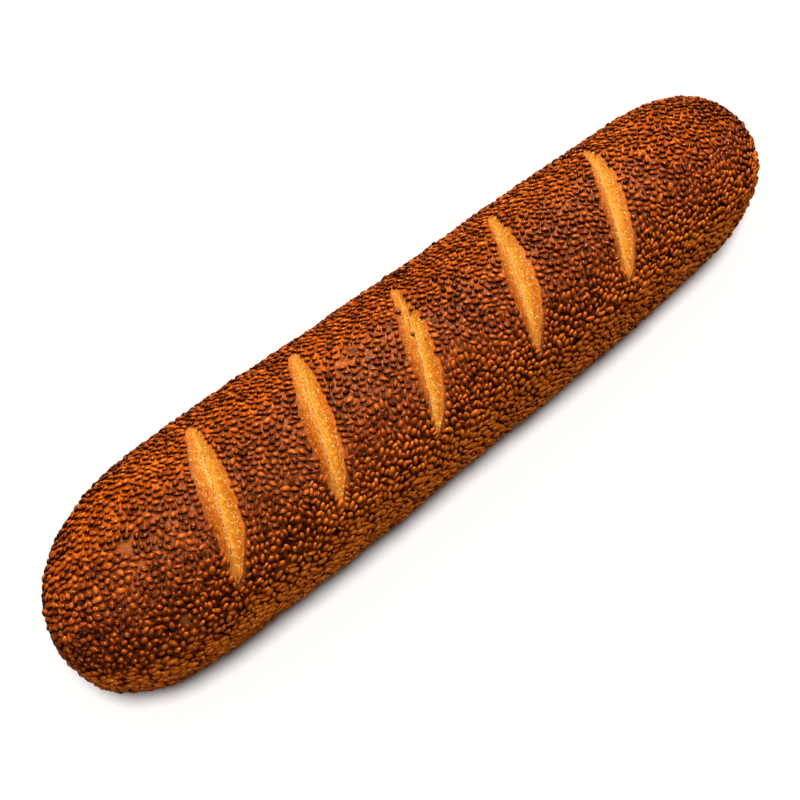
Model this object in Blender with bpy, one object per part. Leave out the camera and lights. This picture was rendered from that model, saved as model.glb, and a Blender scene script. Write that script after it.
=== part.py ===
"""A straight, seed-crusted bread loaf with a row of slanting slashes across its crown.

The loaf is one solid. It lies along X, its thick end at -X and its thin end at +X, and rests
on its flat base at Z = 0. Its surface is the outside of the seed coat, and the slashes are
open grooves down to the crumb.
"""
import math
from typing import NamedTuple

import bmesh
import bpy
from mathutils import Vector

# Driving dimensions, in metres
LENGTH = 0.335
THICK_END_WIDTH = 0.0779
THIN_END_WIDTH = 0.0628
MIDDLE_SWELL = 0.0043          # extra width half way along
THICK_CAP = 0.0628             # length over which the thick end rounds off
THIN_CAP = 0.0502
HEIGHT_TO_WIDTH = 0.84
BEND = -0.0009                 # how far the middle bows in Y


class Wave(NamedTuple):
    """One slow unevenness along the loaf."""

    height: float
    turns: float               # waves from end to end
    phase: float               # in radians, at the thick end


CENTRE_WAVES = (Wave(0.0028, 1.0, 0.0), Wave(0.0011, 2.0, -0.61), Wave(0.0006, 2.6, 0.17))
WIDTH_WAVE = Wave(-0.0006, 2.5, 0.0)

# Section of the loaf
CAP_POWER = 2.30               # roundness of the ends, 2 is an ellipse
WIDEST_LEVEL = 0.48            # height of the widest level, as a share of the height
TIP_DROP = 0.10                # how far the tips sink below that level, as a share of it
CROWN_POWER = 2.08
BELLY_POWER = 2.55
BELLY_DEPTH = 1.06             # how far the belly curve would reach, the base cuts it flat
BELLY_CAP_SHARE = 0.82         # the belly's ends are blunter than the crown's


class Slash(NamedTuple):
    """One spindle-shaped groove, as seen from above."""

    middle_x: float
    middle_y: float
    length: float
    width: float
    slant: float               # turn away from straight across the loaf, in degrees
    bow: float                 # how far its middle bends towards the thin end


SLASHES = (
    Slash(-0.0971, 0.0014, 0.0600, 0.0128, 21.4, 0.0030),
    Slash(-0.0520, -0.0001, 0.0600, 0.0120, 22.2, 0.0011),
    Slash(-0.0092, -0.0033, 0.0605, 0.0112, 25.0, 0.0012),
    Slash(0.0402, -0.0029, 0.0595, 0.0118, 24.4, 0.0010),
    Slash(0.0870, -0.0042, 0.0590, 0.0110, 27.2, 0.0013),
)
SLASH_DEPTH = 0.0036
SLASH_TAPER_POWER = 1.9        # a higher power makes blunter ends

# Cutter of one slash
CUTTER_ROOF = 1.5              # its axis stands this many slash depths over the crust
CUTTER_STEPS = 20
CUTTER_SIDES = 16

# Mesh resolution
RING_POINTS = 48
CAP_RINGS = 12
BODY_RINGS = 30
SHARP_ANGLE = math.radians(32.0)
PROBE = 0.0002                 # step used to measure the slope of the crown


def lerp(start, end, share):
    """Value at a share of the way from start to end."""
    return start + (end - start) * share


def wave_at(wave, share):
    """Height of a wave at a share of the way along the loaf."""
    return wave.height * math.sin(2.0 * math.pi * wave.turns * share + wave.phase)


def full_width(x):
    """Width of the loaf at x, leaving its rounded ends aside."""
    share = x / LENGTH + 0.5
    swell = MIDDLE_SWELL * 4 * share * (1 - share)
    return lerp(THICK_END_WIDTH, THIN_END_WIDTH, share) + swell + wave_at(WIDTH_WAVE, share)


def rounding(x, cap_scale=1.0):
    """Share of the full section left at x: 1 along the body, falling to 0 at both tips."""
    share = 1.0
    for cap, reach in ((THICK_CAP, x + LENGTH / 2), (THIN_CAP, LENGTH / 2 - x)):
        into_cap = min(max(1.0 - reach / (cap * cap_scale), 0.0), 1.0)
        share *= (1.0 - into_cap ** CAP_POWER) ** (1.0 / CAP_POWER)
    return share


def raw_centre(x):
    """Y of the wandering centre line, before the model is centred."""
    bow = BEND * (1.0 - (2.0 * x / LENGTH) ** 2)
    return bow + sum(wave_at(wave, x / LENGTH + 0.5) for wave in CENTRE_WAVES)


def section(x):
    """Half width, widest level, rise of the crown and depth of the belly at x."""
    share = rounding(x)
    height = HEIGHT_TO_WIDTH * full_width(x)
    level = WIDEST_LEVEL * height * (1.0 - TIP_DROP * (1.0 - share))
    rise = (1.0 - WIDEST_LEVEL) * height * share
    depth = level * BELLY_DEPTH * rounding(x, BELLY_CAP_SHARE)
    return full_width(x) / 2 * share, level, rise, depth


def ring_stations():
    """X of every ring, close together where the ends curve most."""
    quarter = math.pi / 2
    steps = [index / CAP_RINGS for index in range(1, CAP_RINGS + 1)]
    insets = [1.0 - math.cos(quarter * step) ** (2.0 / CAP_POWER) for step in steps]
    thick = [-LENGTH / 2 + THICK_CAP * inset for inset in insets]
    thin = [LENGTH / 2 - THIN_CAP * inset for inset in reversed(insets)]
    body = [lerp(thick[-1], thin[0], index / BODY_RINGS) for index in range(1, BODY_RINGS)]
    return thick + body + thin


def box_centre_y():
    """Middle of the uncentred loaf's range in Y."""
    stations = ring_stations()
    low = min(raw_centre(x) - section(x)[0] for x in stations)
    high = max(raw_centre(x) + section(x)[0] for x in stations)
    return (low + high) / 2


CENTRE_SHIFT = -box_centre_y()


def centre_y(x):
    """Y of the loaf's centre line, with the loaf's box centred on Y = 0."""
    return raw_centre(x) + CENTRE_SHIFT


def signed_power(value, power):
    """Value raised to a power, keeping its sign."""
    return math.copysign(abs(value) ** power, value)


def ring_point(x, angle):
    """Point of the section at x, the angle running from +Y over the crown."""
    half_width, level, rise, depth = section(x)
    across, up = math.cos(angle), math.sin(angle)
    power = CROWN_POWER if up >= 0.0 else BELLY_POWER
    y = centre_y(x) + half_width * signed_power(across, 2.0 / power)
    z = level + (rise if up >= 0.0 else depth) * signed_power(up, 2.0 / power)
    return Vector((x, y, max(z, 0.0)))


def crown_height(x, y):
    """Height of the crown over a point of the plan."""
    half_width, level, rise, _ = section(x)
    across = min(abs(y - centre_y(x)) / half_width, 1.0)
    return level + rise * (1.0 - across ** CROWN_POWER) ** (1.0 / CROWN_POWER)


def crown_normal(x, y):
    """Outward direction of the crown over a point of the plan."""
    slope_x = (crown_height(x + PROBE, y) - crown_height(x - PROBE, y)) / (2 * PROBE)
    slope_y = (crown_height(x, y + PROBE) - crown_height(x, y - PROBE)) / (2 * PROBE)
    return Vector((-slope_x, -slope_y, 1.0)).normalized()


def add_object(name, mesh):
    """Link a mesh to the scene as a named object."""
    obj = bpy.data.objects.new(name, mesh)
    bpy.context.scene.collection.objects.link(obj)
    return obj


def make_crust_material():
    """Dark, toasted seed crust."""
    toasted = (0.19, 0.052, 0.014, 1.0)
    material = bpy.data.materials.new("seeded_crust")
    material.use_nodes = True
    shader = material.node_tree.nodes["Principled BSDF"]
    shader.inputs["Base Color"].default_value = toasted
    shader.inputs["Roughness"].default_value = 0.5
    shader.inputs["Metallic"].default_value = 0.0
    material.diffuse_color = toasted
    return material


def add_ring(bm, x):
    """Add one closed section ring and return its edges."""
    angles = [2.0 * math.pi * index / RING_POINTS for index in range(RING_POINTS)]
    points = [bm.verts.new(ring_point(x, angle)) for angle in angles]
    return [bm.edges.new((points[index - 1], point)) for index, point in enumerate(points)]


def close_tip(bm, edges, x):
    """Close an end ring with a fan to the loaf's tip."""
    tip = bm.verts.new((x, centre_y(x), section(x)[1]))
    for edge in edges:
        bm.faces.new((*edge.verts, tip))


def make_loaf():
    """Loft the loaf through its section rings and close both tips."""
    bm = bmesh.new()
    rings = [add_ring(bm, x) for x in ring_stations()]
    for here, there in zip(rings, rings[1:]):
        bmesh.ops.bridge_loops(bm, edges=here + there)
    close_tip(bm, rings[0], -LENGTH / 2)
    close_tip(bm, rings[-1], LENGTH / 2)
    bmesh.ops.recalc_face_normals(bm, faces=bm.faces)
    mesh = bpy.data.meshes.new("loaf")
    bm.to_mesh(mesh)
    bm.free()
    mesh.shade_smooth()
    mesh.set_sharp_from_angle(angle=SHARP_ANGLE)
    mesh.materials.append(make_crust_material())
    return add_object("loaf", mesh)


def bend_to_slash(point, slash):
    """Carry a point of a unit ball to a slash's cutter, which follows the crown.

    The ball's X runs across the slash, its Y away from the crust and its Z along the slash
    towards -Y, which keeps its faces pointing outwards.
    """
    ball_radius = math.sqrt(max(1.0 - point.z ** 2, 0.0))
    spindle = 1.0 - abs(point.z) ** SLASH_TAPER_POWER
    swell = spindle / ball_radius if ball_radius > PROBE else 0.0
    reach = 1.0 + CUTTER_ROOF
    footing = math.sqrt(1.0 - (CUTTER_ROOF / reach) ** 2)
    along = -point.z * slash.length / 2
    across = point.x * swell * slash.width / 2 / footing + slash.bow * spindle
    lift = (point.y * swell * reach + CUTTER_ROOF * spindle) * SLASH_DEPTH
    slant = math.radians(slash.slant)
    x = slash.middle_x + along * math.sin(slant) + across * math.cos(slant)
    y = slash.middle_y + CENTRE_SHIFT + along * math.cos(slant) - across * math.sin(slant)
    return Vector((x, y, crown_height(x, y))) + crown_normal(x, y) * lift


def make_slash_cutter(slash, name):
    """Make the spindle that opens one slash."""
    bm = bmesh.new()
    bmesh.ops.create_uvsphere(bm, u_segments=CUTTER_SIDES, v_segments=CUTTER_STEPS, radius=1.0)
    for vert in bm.verts:
        vert.co = bend_to_slash(vert.co, slash)
    mesh = bpy.data.meshes.new(name)
    bm.to_mesh(mesh)
    bm.free()
    cutter = add_object(name, mesh)
    cutter.hide_render = True
    cutter.display_type = "WIRE"
    return cutter


def cut_slashes(loaf):
    """Cut every slash out of the loaf."""
    for number, slash in enumerate(SLASHES, start=1):
        cut = loaf.modifiers.new(f"slash_{number}", "BOOLEAN")
        cut.operation = "DIFFERENCE"
        cut.solver = "EXACT"
        cut.object = make_slash_cutter(slash, f"slash_cutter_{number}")


def main():
    """Clear the scene and build the loaf."""
    for old in list(bpy.data.objects):
        bpy.data.objects.remove(old)
    cut_slashes(make_loaf())


main()
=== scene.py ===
"""Looks of the seeded bread loaf: its toasted crust, the crumb in its slashes and its seeds.

The loaf lies along X with its thick end at -X and rests on its flat base at Z = 0. Angles round
the loaf run from its back, +Y, over the crown to its front, -Y. Sizes are in metres, except in
fields whose names end in _mm.
"""
from __future__ import annotations

import logging
import math
from dataclasses import dataclass
from enum import Enum
from typing import Any, Optional, Sequence, Union

import bmesh
import bpy
import numpy as np
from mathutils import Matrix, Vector, noise
from mathutils.bvhtree import BVHTree
from mathutils.kdtree import KDTree


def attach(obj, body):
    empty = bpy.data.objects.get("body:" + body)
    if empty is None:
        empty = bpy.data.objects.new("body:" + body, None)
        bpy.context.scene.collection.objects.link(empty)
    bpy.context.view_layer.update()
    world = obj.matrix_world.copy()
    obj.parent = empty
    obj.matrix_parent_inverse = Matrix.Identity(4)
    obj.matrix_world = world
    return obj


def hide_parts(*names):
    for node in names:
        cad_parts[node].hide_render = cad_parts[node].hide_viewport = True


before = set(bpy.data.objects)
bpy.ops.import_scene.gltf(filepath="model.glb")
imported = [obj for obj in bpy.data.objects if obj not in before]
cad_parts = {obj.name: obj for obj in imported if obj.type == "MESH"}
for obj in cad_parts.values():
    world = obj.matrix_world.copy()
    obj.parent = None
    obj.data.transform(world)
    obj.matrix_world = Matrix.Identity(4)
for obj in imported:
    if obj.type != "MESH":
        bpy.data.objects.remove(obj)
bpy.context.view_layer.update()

MM = 0.001
BAKE_MAP = "OFBake"
CHANCE = 7319
TINY = 1e-9
WELD = 1e-7
Colour = tuple[float, float, float]

log = logging.getLogger("loaf")


def smooth_step(low: float, high: float, value: np.ndarray) -> np.ndarray:
    """Rise softly from 0 at low to 1 at high."""
    share = np.clip((value - low) / (high - low), 0.0, 1.0)
    return share * share * (3.0 - 2.0 * share)


def lumps(points: np.ndarray, size: Union[float, Sequence[float]], shift: float = 0.0) -> np.ndarray:
    """Read smooth, repeatable noise at points.

    Args:
        points: Places as an (n, 3) array.
        size: Width of one lump, the same in all directions or one for each axis.
        shift: Moves the reading to another part of the noise.

    Returns:
        One value from about -1 to 1 for each point.
    """
    scaled = points / np.asarray(size) + shift
    return np.array([noise.noise(Vector(point)) for point in scaled])


# Height, width and reading shift of the broad, middling and small lumps in the loaf's skin
SKIN_LUMPS = ((0.00042, 0.017, 3.1), (0.00022, 0.0066, 8.7), (0.00009, 0.0031, 1.9))
# Heights above the base between which the lumps grow to their full size
LUMPS_GROW = (0.001, 0.007)


def relief(places: np.ndarray) -> np.ndarray:
    """Height of the lumps and dents in the loaf's skin."""
    layers = (height * lumps(places, width, shift) for height, width, shift in SKIN_LUMPS)
    return sum(layers) * smooth_step(*LUMPS_GROW, places[:, 2])


def unit(vectors: np.ndarray) -> np.ndarray:
    """Bring every row of an (n, 3) array to length 1."""
    return vectors / np.maximum(np.linalg.norm(vectors, axis=1, keepdims=True), TINY)


def dots(first: np.ndarray, second: np.ndarray) -> np.ndarray:
    """Dot products of the rows of two (n, 3) arrays."""
    return np.einsum("nc,nc->n", first, second)


def tree_of(places: np.ndarray) -> KDTree:
    """A search tree over places."""
    tree = KDTree(len(places))
    for row, place in enumerate(places):
        tree.insert(place, row)
    tree.balance()
    return tree


# The form of the loaf


@dataclass(frozen=True)
class Wave:
    """One slow unevenness along the loaf."""

    height: float
    turns: float
    phase: float

    def at(self, share: np.ndarray) -> np.ndarray:
        """Height of the wave at a share of the way along the loaf."""
        return self.height * np.sin(2.0 * math.pi * self.turns * share + self.phase)


@dataclass(frozen=True)
class LoafForm:
    """The body of the loaf as the CAD part has it, without its slashes.

    The centre shift brings the middle of the loaf's box to Y = 0. On the crown of the thin end
    the browning is read paler_turn degrees nearer to the back.
    """

    length: float = 0.335
    thick_end_width: float = 0.0779
    thin_end_width: float = 0.0628
    middle_swell: float = 0.0043
    thick_cap: float = 0.0628
    thin_cap: float = 0.0502
    height_to_width: float = 0.84
    bend: float = -0.0009
    centre_shift: float = -0.00152184
    centre_waves: tuple[Wave, ...] = (
        Wave(0.0028, 1.0, 0.0),
        Wave(0.0011, 2.0, -0.61),
        Wave(0.0006, 2.6, 0.17),
    )
    width_wave: Wave = Wave(-0.0006, 2.5, 0.0)
    cap_power: float = 2.30
    widest_level: float = 0.48
    tip_drop: float = 0.10
    crown_power: float = 2.08
    belly_power: float = 2.55
    belly_depth: float = 1.06
    belly_cap_share: float = 0.82
    probe: float = 0.0002
    paler_from: tuple[float, float] = (0.098, 0.126)
    paler_turn: float = 34.0

    def full_width(self, x: np.ndarray) -> np.ndarray:
        """Width of the loaf at x, leaving its rounded ends aside."""
        share = x / self.length + 0.5
        taper = self.thick_end_width + (self.thin_end_width - self.thick_end_width) * share
        return taper + self.middle_swell * 4.0 * share * (1.0 - share) + self.width_wave.at(share)

    def rounding(self, x: np.ndarray, cap_scale: float = 1.0) -> np.ndarray:
        """Share of the full section left at x, 1 along the body and 0 at both tips."""
        share = np.ones_like(x)
        half = self.length / 2
        for cap, reach in ((self.thick_cap, x + half), (self.thin_cap, half - x)):
            into_cap = np.clip(1.0 - reach / (cap * cap_scale), 0.0, 1.0)
            share = share * (1.0 - into_cap**self.cap_power) ** (1.0 / self.cap_power)
        return share

    def centre(self, x: np.ndarray) -> np.ndarray:
        """Y of the wandering centre line."""
        bow = self.bend * (1.0 - (2.0 * x / self.length) ** 2)
        share = x / self.length + 0.5
        return bow + sum(wave.at(share) for wave in self.centre_waves) + self.centre_shift

    def section(self, x: np.ndarray) -> tuple[np.ndarray, np.ndarray, np.ndarray, np.ndarray]:
        """Half width, widest level, rise of the crown and depth of the belly at x."""
        share = self.rounding(x)
        height = self.height_to_width * self.full_width(x)
        level = self.widest_level * height * (1.0 - self.tip_drop * (1.0 - share))
        rise = (1.0 - self.widest_level) * height * share
        depth = level * self.belly_depth * self.rounding(x, self.belly_cap_share)
        return self.full_width(x) / 2 * share, level, rise, depth

    def surface(self, x: np.ndarray, angle: np.ndarray) -> np.ndarray:
        """Points of the sections at x.

        Args:
            x: Stations along the loaf.
            angle: Angle of each point from +Y over the crown, in radians.

        Returns:
            The points as an (n, 3) array.
        """
        half_width, level, rise, depth = self.section(x)
        across, up = np.cos(angle), np.sin(angle)
        curve = 2.0 / np.where(up >= 0.0, self.crown_power, self.belly_power)
        y = self.centre(x) + half_width * np.sign(across) * np.abs(across) ** curve
        z = level + np.where(up >= 0.0, rise, depth) * np.sign(up) * np.abs(up) ** curve
        return np.stack([x, y, np.maximum(z, 0.0)], axis=-1)

    def crown_height(self, x: np.ndarray, y: np.ndarray) -> np.ndarray:
        """Height of the crown over points of the plan."""
        half_width, level, rise, _ = self.section(x)
        across = np.minimum(np.abs(y - self.centre(x)) / np.maximum(half_width, TINY), 1.0)
        return level + rise * (1.0 - across**self.crown_power) ** (1.0 / self.crown_power)

    def crown_normal(self, x: np.ndarray, y: np.ndarray) -> np.ndarray:
        """Outward direction of the crown over points of the plan."""
        step = self.probe
        slope_x = self.crown_height(x + step, y) - self.crown_height(x - step, y)
        slope_y = self.crown_height(x, y + step) - self.crown_height(x, y - step)
        return unit(np.stack([-slope_x, -slope_y, np.full_like(x, 2.0 * step)], axis=-1))

    def angle_of(self, points: np.ndarray) -> np.ndarray:
        """Angle of points round the loaf, in degrees.

        Args:
            points: Places on the loaf's surface.

        Returns:
            0 at the back, 90 on the crown and 180 at the front, and from -90 to 270 in all.
        """
        half_width, level, rise, depth = self.section(points[:, 0])
        lift = points[:, 2] - level
        up = lift / np.maximum(np.where(lift >= 0.0, rise, depth), MM)
        across = (points[:, 1] - self.centre(points[:, 0])) / np.maximum(half_width, MM)
        degrees = np.degrees(np.arctan2(up, across))
        return np.where(degrees < -90.0, degrees + 360.0, degrees)

    def browning_angle(self, points: np.ndarray) -> np.ndarray:
        """Angle that a finish reads, lower on the thin end's crown, which browned like the back."""
        around = self.angle_of(points)
        turn = self.paler_turn * smooth_step(*self.paler_from, points[:, 0])
        return around - turn * smooth_step(116.0, 98.0, around) * smooth_step(0.0, 40.0, around)


# The slashes

OUTLINE_STATIONS = (0.0, 0.03, 0.12, 0.25, 0.37, 0.50, 0.62, 0.75, 0.87, 0.95, 1.0)


@dataclass(frozen=True)
class Slash:
    """One slanting cut, measured from above along the line between its two ends.

    The outline is given by how far each bank's edge lies from that line at the stations, which
    run from the end near the back to the end near the front. The left bank is towards the
    loaf's thick end.
    """

    middle_x: float
    middle_y: float
    length: float
    slant: float
    left_mm: tuple[float, ...]
    right_mm: tuple[float, ...]
    crease_mm: float
    depth: float = 0.0036
    bank_roundness: float = 1.35
    end_bluntness: float = 2.4
    ripple: float = 0.00016
    crease_room: float = 0.7

    def measure(self, x: np.ndarray, y: np.ndarray) -> tuple[np.ndarray, np.ndarray]:
        """Share of the way along the slash and distance across it, for points of the plan."""
        slant = math.radians(self.slant)
        dx, dy = x - self.middle_x, y - self.middle_y
        along = dx * math.sin(slant) + dy * math.cos(slant)
        across = dx * math.cos(slant) - dy * math.sin(slant)
        return 0.5 - along / self.length, across

    def plan(self, share: np.ndarray, across: np.ndarray) -> tuple[np.ndarray, np.ndarray]:
        """X and Y of points given by their share along the slash and distance across it."""
        slant = math.radians(self.slant)
        along = (0.5 - share) * self.length
        x = self.middle_x + along * math.sin(slant) + across * math.cos(slant)
        y = self.middle_y + along * math.cos(slant) - across * math.sin(slant)
        return x, y

    def edges(self, share: np.ndarray) -> tuple[np.ndarray, np.ndarray, np.ndarray]:
        """Offsets of the left edge, the right edge and the crease at a share of the way."""
        left = np.interp(share, OUTLINE_STATIONS, self.left_mm) * MM
        right = np.interp(share, OUTLINE_STATIONS, self.right_mm) * MM
        wander = share * self.length / MM
        ripple = self.ripple * np.sin(np.clip(share, 0.0, 1.0) * math.pi)
        left = left + ripple * (np.sin(1.9 * wander + self.slant) + np.sin(0.83 * wander))
        right = right + ripple * (np.sin(1.6 * wander + 2.0) + np.sin(0.71 * wander + self.slant))
        swell = np.clip(4.0 * share * (1.0 - share), 0.0, 1.0) ** 0.4
        crease = self.crease_mm * MM * swell + ripple * np.sin(0.55 * wander + 1.0)
        middle = (left + right) / 2
        span = (right - left) / 2
        room = self.crease_room * span
        return left, right, middle + np.clip(crease - middle, -room, room)

    def inside(self, x: np.ndarray, y: np.ndarray) -> np.ndarray:
        """Distance of points of the plan from the outline, more than 0 inside the slash."""
        share, across = self.measure(x, y)
        left, right, _ = self.edges(np.clip(share, 0.0, 1.0))
        beyond = np.maximum(np.maximum(-share, share - 1.0), 0.0) * self.length
        sideways = np.minimum(across - left, right - across)
        return np.where(beyond > 0.0, -np.hypot(beyond, np.minimum(sideways, 0.0)), sideways)

    def bank(self, share: np.ndarray, across: np.ndarray) -> np.ndarray:
        """Place across the slash, -1 at its left edge, 0 in its crease and 1 at its right."""
        left, right, crease = self.edges(share)
        width = np.where(across > crease, right - crease, crease - left)
        return (across - crease) / np.maximum(width, 0.2 * MM)

    def groove(self, share: np.ndarray, bank: np.ndarray) -> np.ndarray:
        """Depth of the slash below the crust."""
        middle = np.clip(1.0 - np.abs(2.0 * share - 1.0) ** self.end_bluntness, 0.0, 1.0)
        return self.depth * middle**0.75 * np.clip(1.0 - np.abs(bank), 0.0, 1.0) ** self.bank_roundness


SLASHES = (
    Slash(
        -0.0971, -0.00012, 0.0600, 21.4,
        (0.0, -1.7, -2.3, -3.3, -3.9, -3.7, -3.0, -2.2, -1.5, -1.4, 0.0),
        (0.0, 2.9, 4.2, 6.4, 7.9, 8.5, 8.4, 8.0, 5.0, 3.0, 0.0),
        2.0,
    ),
    Slash(
        -0.0520, -0.00162, 0.0600, 22.2,
        (0.0, -2.0, -3.2, -4.1, -4.8, -5.6, -5.0, -4.0, -3.3, -2.0, 0.0),
        (0.0, 2.8, 3.2, 4.8, 5.4, 6.0, 6.5, 5.9, 4.1, 1.7, 0.0),
        0.1,
    ),
    Slash(
        -0.0092, -0.00482, 0.0605, 25.0,
        (0.0, -1.3, -1.6, -2.5, -3.1, -3.6, -2.9, -1.4, -0.6, -0.4, 0.0),
        (0.0, 2.2, 3.1, 5.8, 7.3, 7.4, 7.6, 6.6, 4.7, 2.0, 0.0),
        1.8,
    ),
    Slash(
        0.0402, -0.00442, 0.0595, 24.4,
        (0.0, -1.8, -2.8, -3.7, -4.2, -5.4, -5.2, -4.3, -2.8, -2.0, 0.0),
        (0.0, 2.2, 2.7, 4.0, 5.3, 6.2, 6.5, 5.4, 3.2, 1.4, 0.0),
        -0.3,
    ),
    Slash(
        0.0870, -0.00572, 0.0590, 27.2,
        (0.0, -1.4, -1.7, -2.4, -2.8, -3.6, -3.7, -3.1, -3.0, -2.1, 0.0),
        (0.0, 1.8, 4.0, 5.9, 6.4, 6.4, 6.0, 5.6, 3.9, 2.2, 0.0),
        0.6,
    ),
)


# Shader recipes


class Measure:
    """A value inside a recipe. Python's operators on it add Math nodes."""

    def __init__(self, recipe: Recipe, socket: bpy.types.NodeSocket) -> None:
        """Hold one output socket of a node."""
        self.recipe = recipe
        self.socket = socket

    def _math(self, operation: str, *terms: Value) -> Measure:
        """Add one Math node that reads the terms."""
        return self.recipe.step("ShaderNodeMath", {"operation": operation}, dict(enumerate(terms)))

    def __add__(self, other: Value) -> Measure:
        """Add a value."""
        return self._math("ADD", self, other)

    def __radd__(self, other: Value) -> Measure:
        """Be added to a value."""
        return self._math("ADD", other, self)

    def __sub__(self, other: Value) -> Measure:
        """Take a value away."""
        return self._math("SUBTRACT", self, other)

    def __rsub__(self, other: Value) -> Measure:
        """Be taken away from a value."""
        return self._math("SUBTRACT", other, self)

    def __mul__(self, other: Value) -> Measure:
        """Multiply by a value."""
        return self._math("MULTIPLY", self, other)

    def __rmul__(self, other: Value) -> Measure:
        """Be multiplied by a value."""
        return self._math("MULTIPLY", other, self)

    def __truediv__(self, other: Value) -> Measure:
        """Divide by a value."""
        return self._math("DIVIDE", self, other)

    def __rtruediv__(self, other: Value) -> Measure:
        """Divide a value."""
        return self._math("DIVIDE", other, self)

    def __abs__(self) -> Measure:
        """Drop the sign."""
        return self._math("ABSOLUTE", self)

    def larger(self, other: Value) -> Measure:
        """Take the larger of two values."""
        return self._math("MAXIMUM", self, other)

    def rise(self, low: float, high: float) -> Measure:
        """Rise softly from 0 at low to 1 at high, or fall where high is the smaller."""
        settings = {"interpolation_type": "SMOOTHSTEP"}
        return self.recipe.step(
            "ShaderNodeMapRange", settings, {"Value": self, "From Min": low, "From Max": high}
        )


Value = Union[float, Measure]
Paint = Union[Colour, Measure]
Settings = dict[str, Any]
Feeds = dict[Union[int, str], Any]


class Recipe:
    """The node tree of one finish."""

    def __init__(self, name: str) -> None:
        """Start a material with an empty tree."""
        self.material = bpy.data.materials.new(name)
        self.material.use_nodes = True
        self.tree = self.material.node_tree
        self.tree.nodes.clear()

    def place(self, kind: str, settings: Optional[Settings], feeds: Optional[Feeds]) -> bpy.types.Node:
        """Add one node.

        Args:
            kind: The node's type.
            settings: Its properties, set first; "stops" holds a ramp's places and colours.
            feeds: Values or links of its input sockets, by index or name.

        Returns:
            The node.
        """
        node = self.tree.nodes.new(kind)
        for key, value in (settings or {}).items():
            if key == "stops":
                self._set_stops(node, value)
            else:
                setattr(node, key, value)
        for key, value in (feeds or {}).items():
            socket = node.inputs[key]
            if isinstance(value, Measure):
                self.tree.links.new(value.socket, socket)
            elif isinstance(value, tuple) and socket.type == "RGBA":
                socket.default_value = (*value, 1.0)
            else:
                socket.default_value = value
        return node

    def step(
        self,
        kind: str,
        settings: Optional[Settings] = None,
        feeds: Optional[Feeds] = None,
        output: Union[int, str] = 0,
    ) -> Measure:
        """Add one node and hand back one of its outputs.

        Args:
            kind: The node's type.
            settings: Its properties.
            feeds: Values or links of its input sockets, by index or name.
            output: The output's index or name.

        Returns:
            The output.
        """
        return Measure(self, self.place(kind, settings, feeds).outputs[output])

    @staticmethod
    def _set_stops(node: bpy.types.Node, stops: Sequence[tuple[float, Colour]]) -> None:
        """Lay out the stops of a colour ramp."""
        elements = node.color_ramp.elements
        while len(elements) < len(stops):
            elements.new(0.5)
        for element, (place, colour) in zip(elements, stops):
            element.position = place
            element.color = (*colour, 1.0)

    def places(self) -> Measure:
        """Object coordinates."""
        return self.step("ShaderNodeTexCoord", output="Object")

    def attribute(self, name: str) -> Measure:
        """A number stored on the mesh."""
        return self.step("ShaderNodeAttribute", {"attribute_name": name}, output="Fac")

    def grain(
        self, places: Measure, size: float, detail: float = 2.0, roughness: float = 0.5, twist: float = 0.0
    ) -> Measure:
        """Noise from 0 to 1 whose lumps are about size across."""
        feeds = {"Vector": places, "Scale": 1.0 / size, "Detail": detail, "Roughness": roughness}
        return self.step("ShaderNodeTexNoise", None, {**feeds, "Distortion": twist})

    def join(self, x: Value, y: Value, z: Value) -> Measure:
        """A vector from three values."""
        return self.step("ShaderNodeCombineXYZ", None, {0: x, 1: y, 2: z})

    def blend(self, share: Value, first: Paint, second: Paint, how: str = "MIX") -> Measure:
        """Mix two colours by a share of the second."""
        settings = {"data_type": "RGBA", "blend_type": how, "clamp_factor": True}
        return self.step("ShaderNodeMix", settings, {0: share, 6: first, 7: second}, 2)

    def ramp(self, value: Measure, *stops: tuple[float, Colour]) -> Measure:
        """Colours along a value."""
        return self.step("ShaderNodeValToRGB", {"stops": stops}, {0: value}, "Color")

    def bump(self, height: Measure, depth: float, under: Optional[Measure] = None) -> Measure:
        """A surface normal that follows a height.

        Args:
            height: Height from 0 to 1.
            depth: How deep a height of 1 is, in metres.
            under: A normal that this one is laid over.

        Returns:
            The normal.
        """
        feeds: Feeds = {"Height": height, "Distance": depth, "Strength": 1.0}
        if under is not None:
            feeds["Normal"] = under
        return self.step("ShaderNodeBump", None, feeds)

    def finish(
        self, colour: Paint, roughness: Value, normal: Optional[Measure], **plain: Union[float, Colour]
    ) -> None:
        """Close the recipe with its shader.

        Args:
            colour: Base colour.
            roughness: Roughness.
            normal: Surface normal, or None for the mesh's own.
            plain: Numbers for other sockets, named with _ for a space.
        """
        feeds: Feeds = {"Base Color": colour, "Roughness": roughness}
        if normal is not None:
            feeds["Normal"] = normal
        feeds.update({name.replace("_", " "): number for name, number in plain.items()})
        shader = self.step("ShaderNodeBsdfPrincipled", None, feeds)
        self.place("ShaderNodeOutputMaterial", None, {"Surface": shader})


# Finishes


@dataclass(frozen=True)
class Toast:
    """How far a part of the loaf is toasted: its colour in hollows and where shade is painted, on the
    body, and on crests and where light is painted on the seeds.
    """

    deep: Colour
    body: Colour
    crest: Colour


@dataclass(frozen=True)
class Toasting:
    """Toast at the back, on the crown and at the front, blended round the loaf."""

    back: Toast
    crown: Toast
    front: Toast

    def paint(self, recipe: Recipe, shade: Measure, places: Measure) -> Measure:
        """Mix the colours of the whole loaf.

        Args:
            recipe: The recipe to add to.
            shade: 0 in hollows and where shade is painted darkest, 0.5 on the body and 1 on crests and
                where light is painted.
            places: Object coordinates.

        Returns:
            The colour.
        """
        patchy = recipe.grain(places, 0.018, 3.0, 0.55)
        wander = recipe.attribute("around") + (patchy - 0.5) * 50.0
        back, crown, front = (
            recipe.ramp(shade, (0.08, toast.deep), (0.50, toast.body), (0.92, toast.crest))
            for toast in (self.back, self.crown, self.front)
        )
        top = recipe.blend(wander.rise(56.0, 88.0), back, crown)
        return recipe.blend(wander.rise(108.0, 136.0), top, front)


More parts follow.
